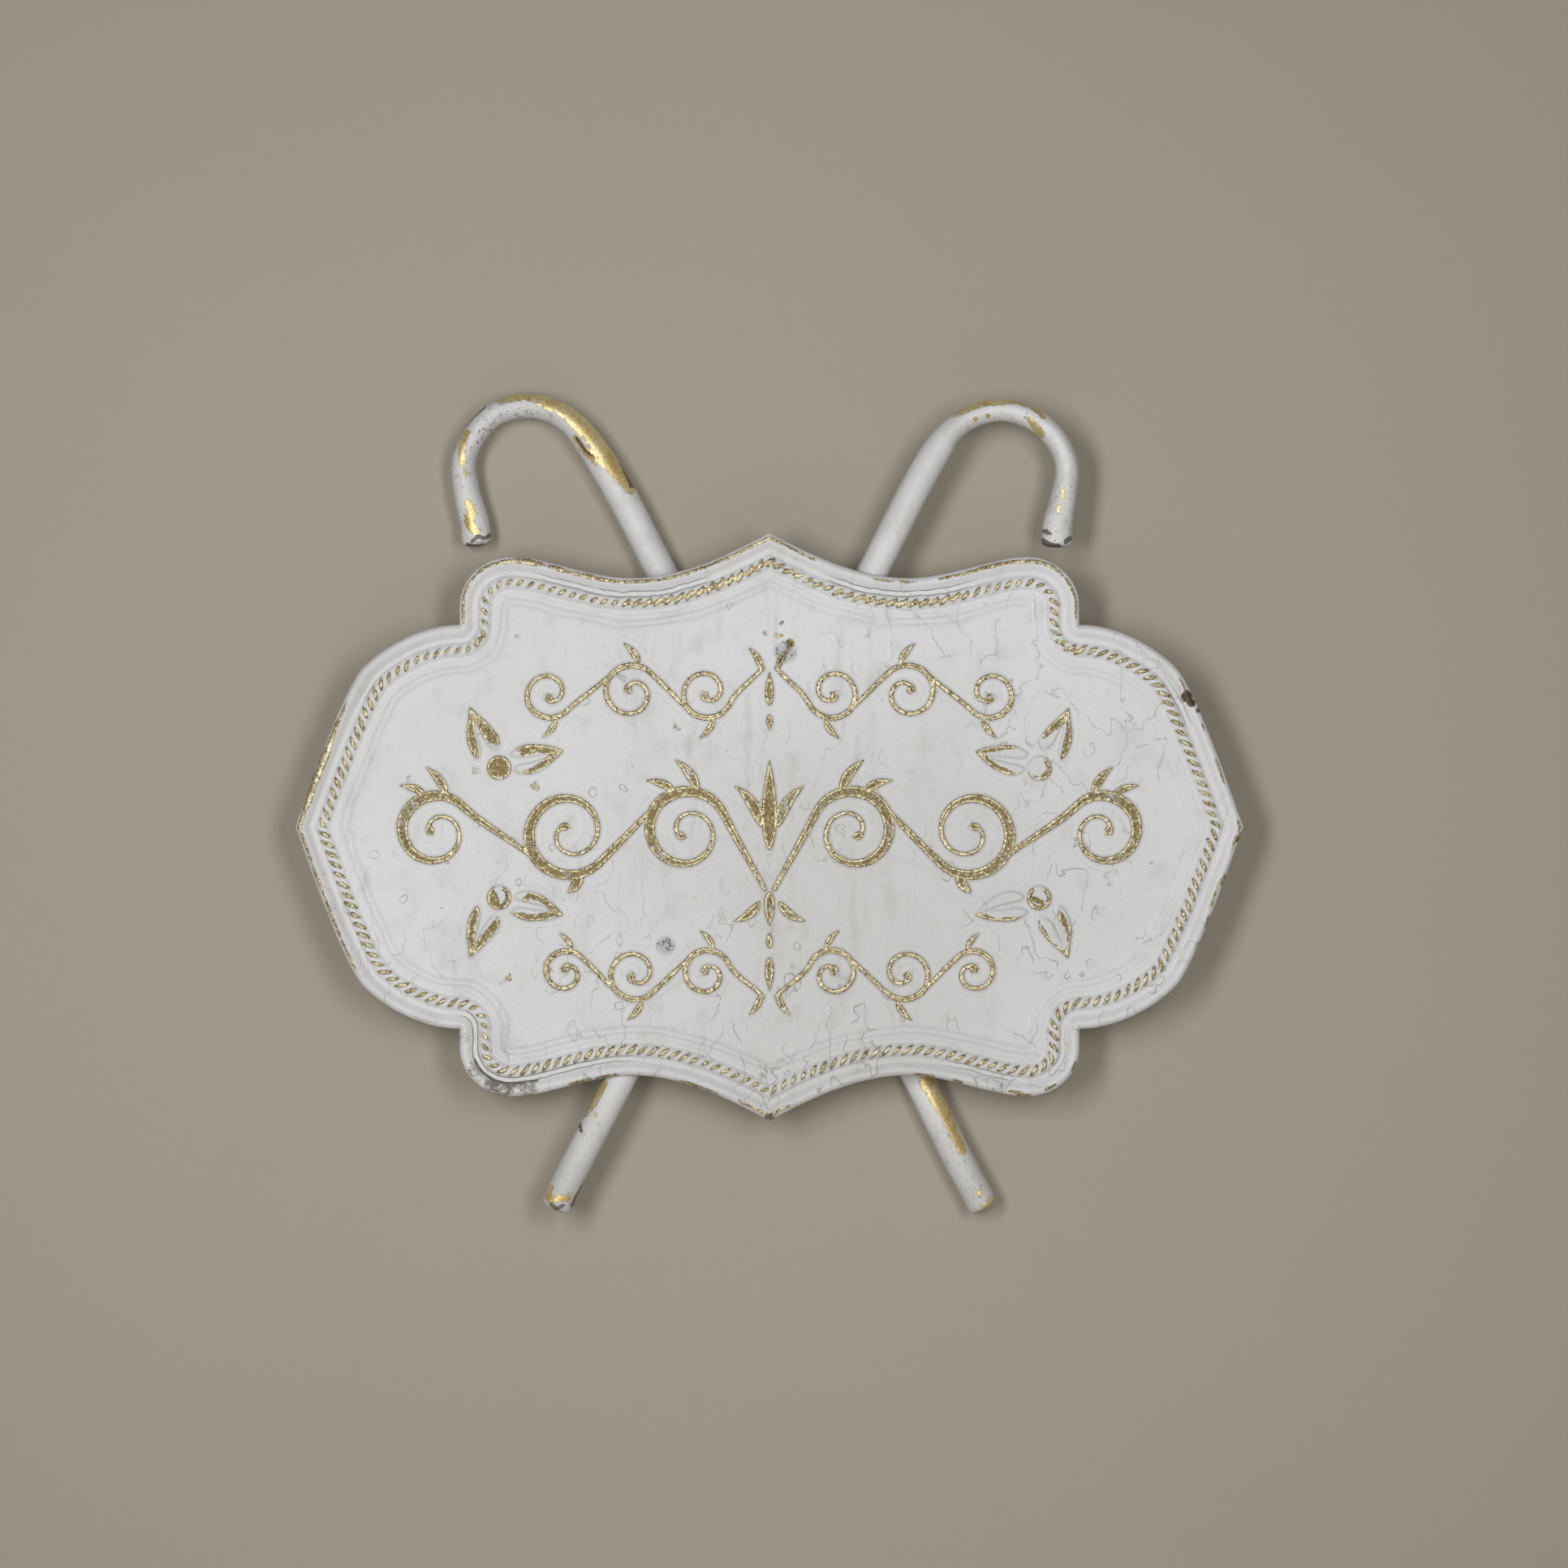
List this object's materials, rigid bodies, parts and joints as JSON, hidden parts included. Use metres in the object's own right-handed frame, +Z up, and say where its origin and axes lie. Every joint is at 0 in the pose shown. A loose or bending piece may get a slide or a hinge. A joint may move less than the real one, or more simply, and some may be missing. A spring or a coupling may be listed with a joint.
{
  "type": "wall-hung shop sign",
  "caption": "Embossed bracket-shaped sheet-metal wall sign with a rope border, carried on crossed cane-shaped tubes with a keyhole hanger strap behind.",
  "frame": {"origin": "where the hanging screw sits: the upper end of the keyhole slot of the hanger strap, on the wall plane", "axes": "+Z up, +X to the viewer's right, +Y into the wall; the front faces -Y"},
  "size_m": [0.5794, 0.0448, 0.5076],
  "materials": {
    "white_over_gold_plate": "chalky off-white paint rubbed through to gold on the raised edges",
    "white_over_gold_tube": "chalky off-white paint rubbed through to bright gold in patches",
    "painted_fittings": "dull gold undercoat with thin off-white overspray"
  },
  "bodies": {
    "root": {"sign_plate": "white_over_gold_plate", "front_cane": "white_over_gold_tube", "front_cane_hook_cap": "white_over_gold_tube", "front_cane_foot_cap": "white_over_gold_tube", "rear_cane": "white_over_gold_tube", "rear_cane_hook_cap": "white_over_gold_tube", "rear_cane_foot_cap": "white_over_gold_tube", "hanger_strap": "painted_fittings", "hanger_weld_left": "painted_fittings", "hanger_weld_right": "painted_fittings", "hanger_weld_lower": "painted_fittings", "upper_standoff": "painted_fittings", "upper_standoff_weld_plate": "painted_fittings", "upper_standoff_weld_cane": "painted_fittings", "lower_standoff": "painted_fittings", "lower_standoff_weld_plate": "painted_fittings", "lower_standoff_weld_cane": "painted_fittings", "front_cane_weld_upper": "painted_fittings", "front_cane_weld_middle": "painted_fittings", "front_cane_weld_lower": "painted_fittings", "crossing_weld_left": "painted_fittings", "crossing_weld_right": "painted_fittings"}
  },
  "joints": []
}
